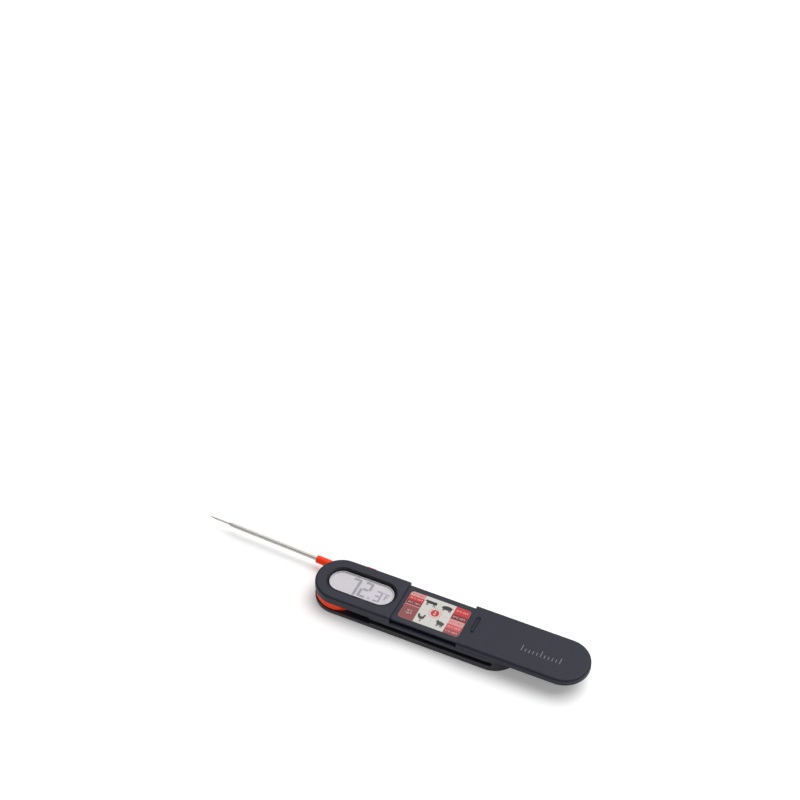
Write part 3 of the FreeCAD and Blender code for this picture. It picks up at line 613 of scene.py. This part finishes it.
# Outlines of the four animals. Each is in units of its own, and is fitted to its place below.
COW = [(0.3, 6.0), (0.1, 7.0), (0.9, 8.2), (1.4, 9.2), (1.2, 10.0), (2.2, 9.5), (3.1, 9.6), (3.6, 9.0),
       (5.5, 9.3), (8.0, 9.5), (11.0, 9.1), (14.5, 9.1), (17.4, 9.5), (19.0, 9.0), (19.7, 7.2), (20.0, 4.0),
       (19.6, 2.6), (19.2, 4.6), (18.9, 6.0), (18.3, 4.6), (18.3, 2.6), (18.5, 0.0), (17.5, 0.0),
       (17.1, 2.6), (16.3, 4.2), (16.0, 2.6), (15.9, 0.0), (14.9, 0.0), (14.8, 3.0), (13.6, 4.2),
       (10.5, 3.9), (7.2, 4.2), (6.6, 3.0), (6.4, 0.0), (5.4, 0.0), (5.2, 3.0), (4.7, 4.0), (4.5, 2.6),
       (4.4, 0.0), (3.4, 0.0), (3.4, 3.4), (3.0, 5.2), (2.2, 6.3), (1.2, 6.0)]
PIG = [(0.2, 5.0), (0.0, 6.2), (1.5, 6.8), (2.6, 7.9), (2.6, 9.4), (3.9, 8.7), (5.4, 9.3), (8.5, 9.9),
       (12.0, 10.0), (16.0, 9.5), (18.4, 8.3), (19.2, 9.0), (20.0, 8.4), (19.4, 7.2), (18.9, 6.4),
       (18.8, 4.4), (18.3, 2.8), (18.5, 0.0), (17.1, 0.0), (16.6, 2.2), (15.8, 2.8), (15.6, 0.0),
       (14.3, 0.0), (13.8, 2.6), (10.5, 2.1), (7.2, 2.6), (6.9, 0.0), (5.6, 0.0), (5.4, 2.6), (4.8, 2.9),
       (4.6, 0.0), (3.3, 0.0), (3.2, 3.2), (2.3, 4.3), (1.2, 4.5)]
HEN = [(0.2, 9.6), (0.9, 11.2), (2.2, 10.9), (2.9, 9.2), (4.4, 7.6), (5.9, 7.9), (6.8, 9.2), (7.0, 10.6),
       (7.2, 11.6), (7.8, 11.3), (8.3, 12.0), (8.8, 11.2), (9.2, 10.6), (10.0, 10.1), (9.2, 9.7),
       (9.3, 8.7), (8.8, 8.9), (8.9, 7.2), (8.6, 5.4), (7.4, 3.8), (6.3, 3.1), (6.2, 1.3), (7.2, 0.5),
       (7.0, 0.0), (4.4, 0.0), (4.6, 0.5), (5.3, 1.3), (5.3, 3.0), (3.6, 3.4), (1.9, 4.8), (0.9, 6.6),
       (0.3, 8.2)]
SHEEP = [(0.0, 7.4), (0.5, 8.6), (1.3, 9.6), (1.4, 11.0), (2.6, 10.2), (3.6, 9.5), (4.6, 9.1), (5.6, 9.4),
         (6.6, 9.0), (7.7, 9.2), (8.8, 8.7), (9.9, 8.7), (10.8, 7.9), (11.7, 7.2), (11.8, 6.0), (11.9, 4.8),
         (11.0, 3.8), (10.6, 2.6), (10.7, 0.0), (9.6, 0.0), (9.4, 2.4), (8.8, 2.9), (8.6, 0.0),
         (7.6, 0.0), (7.4, 2.8), (6.0, 2.5), (5.0, 2.8), (4.9, 0.0), (3.9, 0.0), (3.8, 2.8), (3.3, 3.2),
         (3.2, 0.0), (2.2, 0.0), (2.2, 3.6), (1.7, 5.0), (1.6, 6.4), (0.9, 6.7)]
# Where each animal stands: left, low, width and height.
COW_PLACE = (65.3, 5.3, 9.5, 5.2)
PIG_PLACE = (78.5, 5.5, 8.8, 5.0)
HEN_PLACE = (65.6, -10.9, 6.3, 7.2)
SHEEP_PLACE = (80.3, -10.2, 6.8, 6.3)

INKS = {
    "pale_pink": (236, 162, 162), "red": (214, 42, 48), "maroon": (134, 40, 46), "brown_rose": (151, 80, 80),
    "salmon": (222, 92, 95), "dark_rose": (170, 74, 78), "white": (246, 226, 224), "grey": (104, 84, 86),
    "line": (196, 192, 184), "black": (40, 40, 44), "dark_grey": (72, 74, 80), "pink": (222, 128, 130),
}
# Each print stands one layer above what lies under it, and sinks into that a little.
INK_LAYER, INK_SINK = 0.02, 0.01
# The numerals start a little below the cells' upper faces, and stand out of them.
NUMERAL_LIFT, NUMERAL_THICKNESS = 0.035, 0.02

# Radius of the guide's corners, width of the border round the cells, and the border's own inset.
GUIDE_CORNER, GUIDE_RIM, BORDER_INSET = 2.5, 0.3, 0.05
# Width of each column of cells, with its border.
LEFT_COLUMN, RIGHT_COLUMN = 12.2, 12.3
# Shares count from the guide's back edge to its front. Each cell has its ink, its start and its end.
LEFT_CELLS = (("pale_pink", 0.0, 0.155), ("red", 0.155, 0.31), ("maroon", 0.31, 0.475),
              ("brown_rose", 0.5, 1.0))
RIGHT_CELLS = (("red", 0.0, 0.27), ("maroon", 0.27, 0.467), ("pale_pink", 0.467, 0.647),
               ("salmon", 0.647, 0.82), ("dark_rose", 0.82, 1.0))
SEAM_SHARE, SEAM_HALF = 0.4875, 0.3
SMALL, TALL = 2.05, 2.1
# Each temperature has its column, its share and its size.
PALE_NUMERALS = (
    ("55°C 130°F", "left", 0.232, SMALL), ("60°C 140°F", "left", 0.392, SMALL),
    ("74°C", "left", 0.69, TALL), ("165°F", "left", 0.78, TALL),
    ("52°C 125°F", "right", 0.14, SMALL), ("57°C 135°F", "right", 0.37, SMALL),
    ("63°C 145°F", "right", 0.735, SMALL), ("71°C 160°F", "right", 0.905, SMALL),
)
DARK_NUMERALS = (("49°C 120°F", "left", 0.083, SMALL), ("60°C 140°F", "right", 0.557, SMALL))
SIGN_SHARE = 0.482
# Dividing lines: half their width, and their clearance from the sign, the guide's edges and the columns.
LINE_HALF, SIGN_CLEARANCE, EDGE_CLEARANCE, COLUMN_CLEARANCE = 0.1, 5.6, 1.2, 0.8
SIGN_RADIUS = 3.2
RAY_COUNT, RAY_START, RAY_END, RAY_WIDTH = 20, 3.9, 5.0, 0.42
# Thermometer in the sign: the bulb's drop and radius, then the stem's lower end, upper end and width.
BULB_DROP, BULB_RADIUS = 1.1, 0.85
STEM_LOW, STEM_HIGH, STEM_WIDTH = 0.9, 1.7, 0.7


def build_guide():
    """Printed guide on its cream film: two columns of cells, four animals, dividing lines and a sign."""
    (left, front, _), (right, back, film) = box_mm("guide_label")
    left_edge = left + LEFT_COLUMN
    right_edge = right - RIGHT_COLUMN
    inks = {name: printed_film("ink_" + name, printed(*values)) for name, values in INKS.items()}

    def height(share):
        """Place from the back edge towards the front, by share of the guide's width."""
        return back - share * (back - front)

    def print_plates(name, outlines, ink, level):
        """A print in one ink; level counts the layers that lie under it."""
        base = film + INK_LAYER * level
        plates(name, outlines, base - INK_SINK, base + INK_LAYER, inks[ink], "housing")

    low_inset, high_inset = front + BORDER_INSET, back - BORDER_INSET
    print_plates("guide_left_border", [rounded_box(left + BORDER_INSET, low_inset, left_edge, high_inset,
                                                   (GUIDE_CORNER, 0, 0, GUIDE_CORNER))], "salmon", 0)
    print_plates("guide_right_border", [rounded_box(right_edge, low_inset, right - BORDER_INSET, high_inset,
                                                    (0, GUIDE_CORNER, GUIDE_CORNER, 0))], "maroon", 0)
    small = GUIDE_CORNER - GUIDE_RIM
    for side, start, end, cells in (("left", left + GUIDE_RIM, left_edge, LEFT_CELLS),
                                    ("right", right_edge, right - GUIDE_RIM, RIGHT_CELLS)):
        for number, (ink, top, bottom) in enumerate(cells, 1):
            y_low = max(height(bottom), front + GUIDE_RIM)
            y_high = min(height(top), back - GUIDE_RIM)
            first = small if top == 0.0 else 0
            last = small if bottom == 1.0 else 0
            radii = (last, 0, 0, first) if side == "left" else (0, last, first, 0)
            cell = rounded_box(start, y_low, end, y_high, radii)
            print_plates(f"guide_{side}_cell_{number}_{ink}", [cell], ink, 1)
    seam = height(SEAM_SHARE)
    seam_bar = rounded_box(left + GUIDE_RIM, seam - SEAM_HALF, left_edge, seam + SEAM_HALF)
    print_plates("guide_left_seam", [seam_bar], "pale_pink", 1)

    middles = {"left": (left + GUIDE_RIM + left_edge) / 2, "right": (right_edge + right - GUIDE_RIM) / 2}
    for name, numerals, ink in (("guide_pale_numbers", PALE_NUMERALS, "white"),
                                ("guide_dark_numbers", DARK_NUMERALS, "grey")):
        lines = [(text, middles[side], height(share), size) for text, side, share, size in numerals]
        lettering(name, lines, film + NUMERAL_LIFT, NUMERAL_THICKNESS, inks[ink], "housing")

    x, y = (left_edge + right_edge) / 2, height(SIGN_SHARE)
    print_plates("guide_dividing_lines", [
        rounded_box(x - LINE_HALF, y + SIGN_CLEARANCE, x + LINE_HALF, back - EDGE_CLEARANCE),
        rounded_box(x - LINE_HALF, front + EDGE_CLEARANCE, x + LINE_HALF, y - SIGN_CLEARANCE),
        rounded_box(left_edge + COLUMN_CLEARANCE, y - LINE_HALF, x - SIGN_CLEARANCE, y + LINE_HALF),
        rounded_box(x + SIGN_CLEARANCE, y - LINE_HALF, right_edge - COLUMN_CLEARANCE, y + LINE_HALF),
    ], "line", 0)
    for name, animals, ink in (
            ("guide_cow_and_pig", ((COW, COW_PLACE), (PIG, PIG_PLACE)), "black"),
            ("guide_hen_and_sheep", ((HEN, HEN_PLACE), (SHEEP, SHEEP_PLACE)), "dark_grey")):
        print_plates(name, [smooth_loop(fitted(animal, *place)) for animal, place in animals], ink, 0)
    print_plates("guide_sign_disc", [disc(x, y, SIGN_RADIUS)], "red", 0)
    turns = [360 // RAY_COUNT * number for number in range(RAY_COUNT)]
    rays = [bar(around(x, y, RAY_START, turn), around(x, y, RAY_END, turn), RAY_WIDTH) for turn in turns]
    print_plates("guide_sign_rays", rays, "pink", 0)
    stem = bar((x, y - STEM_LOW), (x, y + STEM_HIGH), STEM_WIDTH, steps=6)
    print_plates("guide_sign_bulb", [disc(x, y - BULB_DROP, BULB_RADIUS, steps=18), stem], "white", 1)


# ---------------------------------------------------------------- handle and underside

# Printed scale: where it starts, its pitch, its line count, its foot, and its lines' lengths and width.
SCALE_START, SCALE_PITCH, SCALE_COUNT, SCALE_FOOT = 148.0, 3.0, 11, -5.4
SHORT_LINE, LONG_LINE, LINE_WIDTH = 2.6, 5.2, 0.5
LONG_EVERY = 5
SCALE_HALF_THICKNESS = 0.02


def build_handle_scale():
    """Row of graduations on the handle's top, every fifth one longer."""
    scale_ink = printed_film("handle_ink", printed(138, 140, 150), roughness=0.45)
    marks = []
    for number in range(SCALE_COUNT):
        x = SCALE_START + SCALE_PITCH * number
        length = SHORT_LINE if number % LONG_EVERY else LONG_LINE
        marks.append(bar((x, SCALE_FOOT), (x, SCALE_FOOT + length), LINE_WIDTH))
    # The handle's top is level with the head's.
    roof = top_of("upper_housing")
    plates("handle_scale", marks, roof - SCALE_HALF_THICKNESS, roof + SCALE_HALF_THICKNESS, scale_ink,
           "handle")


# Signs round the battery cover: their radius about the cover, and the closed and the open place's angle.
SIGNS_RADIUS, CLOSED_ANGLE, OPEN_ANGLE = 15.2, 90, 40
DOT_RADIUS, OPEN_RING_INNER = 0.8, 0.45
# The curved line between the two signs: half its width, and the angle that it keeps clear of each.
SWEEP_HALF, SWEEP_CLEARANCE = 0.15, 6
# On the cover: the pointer's two ends by radius, then how far the plus sign is from the middle, how
# long its arms are, and how far from its centre the upright arms start.
POINTER_START, POINTER_END = 9.9, 11.0
PLUS_DROP, PLUS_ARM, PLUS_GAP = 5.2, 1.5, 0.3
MARK_WIDTH = 0.5
# The marks stand out of the underside by the first of these, and reach into it by the second.
MARK_PROUD, MARK_SINK = 0.015, 0.02


def build_underside_marks():
    """Closed and open signs round the battery cover, with a pointer and a plus sign on the cover."""
    mark_ink = printed_film("underside_ink", printed(150, 150, 154), roughness=0.5)
    x, y = middle_of("battery_cell")
    closed_at = around(x, y, SIGNS_RADIUS, CLOSED_ANGLE)
    open_at = around(x, y, SIGNS_RADIUS, OPEN_ANGLE)
    start, end = OPEN_ANGLE + SWEEP_CLEARANCE, CLOSED_ANGLE - SWEEP_CLEARANCE
    sweep = (arc(x, y, SIGNS_RADIUS + SWEEP_HALF, start, end, steps=16)
             + arc(x, y, SIGNS_RADIUS - SWEEP_HALF, end, start, steps=16))
    signs = [disc(*closed_at, DOT_RADIUS, steps=20),
             ring(*open_at, DOT_RADIUS, OPEN_RING_INNER, steps=20), sweep]
    plates("underside_cover_signs", signs, -MARK_PROUD, MARK_SINK, mark_ink, "housing")
    pointer = bar(around(x, y, POINTER_START, CLOSED_ANGLE), around(x, y, POINTER_END, CLOSED_ANGLE),
                  MARK_WIDTH)
    plus_y = y - PLUS_DROP
    plus = [bar((x - PLUS_ARM, plus_y), (x + PLUS_ARM, plus_y), MARK_WIDTH),
            bar((x, plus_y - PLUS_ARM), (x, plus_y - PLUS_GAP), MARK_WIDTH),
            bar((x, plus_y + PLUS_GAP), (x, plus_y + PLUS_ARM), MARK_WIDTH)]
    cover = box_mm("battery_cover")[0][2]
    plates("battery_cover_marks", [pointer] + plus, cover - MARK_PROUD, cover + MARK_SINK, mark_ink,
           "battery_cover")


# ---------------------------------------------------------------- floor, light and camera, in metres

FLOOR_HALF = 4.0
# The floor lies a little below the thermometer, so that the two don't share a plane.
FLOOR_DROP = 0.0001
FLOOR_GLOW = 0.2


def build_floor():
    """White paper, which glows a little so that it stays white away from the lamps."""
    work = bmesh.new()
    bmesh.ops.create_grid(work, x_segments=1, y_segments=1, size=FLOOR_HALF)
    mesh = bpy.data.meshes.new("floor")
    work.to_mesh(mesh)
    work.free()
    floor = bpy.data.objects.new("floor", mesh)
    bpy.context.collection.objects.link(floor)
    floor.location.z = -FLOOR_DROP
    recipe = Recipe("floor_paper", Specular_IOR_Level=0.15, Emission_Color=grey(1),
                    Emission_Strength=FLOOR_GLOW)
    fibres = recipe.noise(size=3.0, detail=3.0)
    base = recipe.blend(fibres, grey(0.83), grey(0.86))
    mesh.materials.append(recipe.finish(Base_Color=base, Roughness=recipe.wander(fibres, 0.7, 0.8)))


# Dome: the way to its bright part, the dot products where it starts and stops brightening, and the
# brightness at each.
DOME_BRIGHT_SIDE = (-0.31, 0.53, 0.79)
DOME_START, DOME_STOP = 0.72, 0.99
DOME_DIM, DOME_BRIGHT = 0.35, 1.8
DOME_STRENGTH = 0.62


def build_world():
    """Pale studio dome, brighter high up at the back left."""
    world = bpy.data.worlds.new("studio")
    bpy.context.scene.world = world
    world.use_nodes = True
    tree = world.node_tree
    back = tree.nodes["Background"]
    direction = tree.nodes.new("ShaderNodeTexCoord").outputs["Generated"]
    facing = tree.nodes.new("ShaderNodeVectorMath")
    facing.operation = "DOT_PRODUCT"
    facing.inputs[1].default_value = DOME_BRIGHT_SIDE
    tree.links.new(direction, facing.inputs[0])
    share = tree.nodes.new("ShaderNodeMapRange")
    share.inputs["From Min"].default_value = DOME_START
    share.inputs["From Max"].default_value = DOME_STOP
    share.inputs["To Min"].default_value = DOME_DIM
    share.inputs["To Max"].default_value = DOME_BRIGHT
    tree.links.new(facing.outputs["Value"], share.inputs["Value"])
    tree.links.new(share.outputs[0], back.inputs["Color"])
    back.inputs["Strength"].default_value = DOME_STRENGTH


def area_light(name, place, aim, width, height, watts):
    """Rectangular softbox that the camera doesn't see."""
    light = bpy.data.lights.new(name, "AREA")
    light.shape = "RECTANGLE"
    light.size = width
    light.size_y = height
    light.energy = watts
    holder = bpy.data.objects.new(name, light)
    holder.location = place
    holder.rotation_mode = "QUATERNION"
    holder.rotation_quaternion = (Vector(aim) - Vector(place)).to_track_quat("-Z", "Y")
    holder.visible_camera = False
    bpy.context.collection.objects.link(holder)


MIDDLE = (0.05, 0.0, 0.0)
# Each softbox has its place, what it is turned to, its width and height, and its power in watts.
SOFTBOXES = (
    ("high_softbox", (0.82, 0.92, 2.08), MIDDLE, 2.5, 2.1, 55.0),
    ("right_softbox", (2.1, 0.2, 1.3), MIDDLE, 1.4, 1.4, 3.0),
    ("low_front_softbox", (0.2, -1.9, 0.55), MIDDLE, 2.6, 0.8, 1.0),
    ("front_softbox", (0.9, -1.9, 1.9), (0.0, 0.0, 0.0), 1.6, 1.2, 6.0),
)

# The photo's camera, as it was fitted to the outline: degrees, millimetres, and a place in metres.
CAMERA_AZIMUTH, CAMERA_ELEVATION = 25.153, 44.729
CAMERA_LENS, CAMERA_SENSOR = 99.0, 36.0
CAMERA_PLACE = (0.4969, -0.9554, 1.2725)


def build_camera():
    """Camera at the photo's view."""
    azimuth = math.radians(CAMERA_AZIMUTH)
    elevation = math.radians(CAMERA_ELEVATION)
    back = Vector((math.sin(azimuth) * math.cos(elevation), -math.cos(azimuth) * math.cos(elevation),
                   math.sin(elevation)))
    lens = bpy.data.cameras.new("camera")
    lens.lens = CAMERA_LENS
    lens.sensor_width = CAMERA_SENSOR
    camera = bpy.data.objects.new("camera", lens)
    camera.location = CAMERA_PLACE
    camera.rotation_mode = "QUATERNION"
    camera.rotation_quaternion = (-back).to_track_quat("-Z", "Y")
    bpy.context.collection.objects.link(camera)
    bpy.context.scene.camera = camera


build_display()
build_window_rings()
build_guide()
build_handle_scale()
build_underside_marks()
build_floor()
build_world()
for softbox in SOFTBOXES:
    area_light(*softbox)
build_camera()
bpy.context.scene.view_settings.view_transform = "Standard"
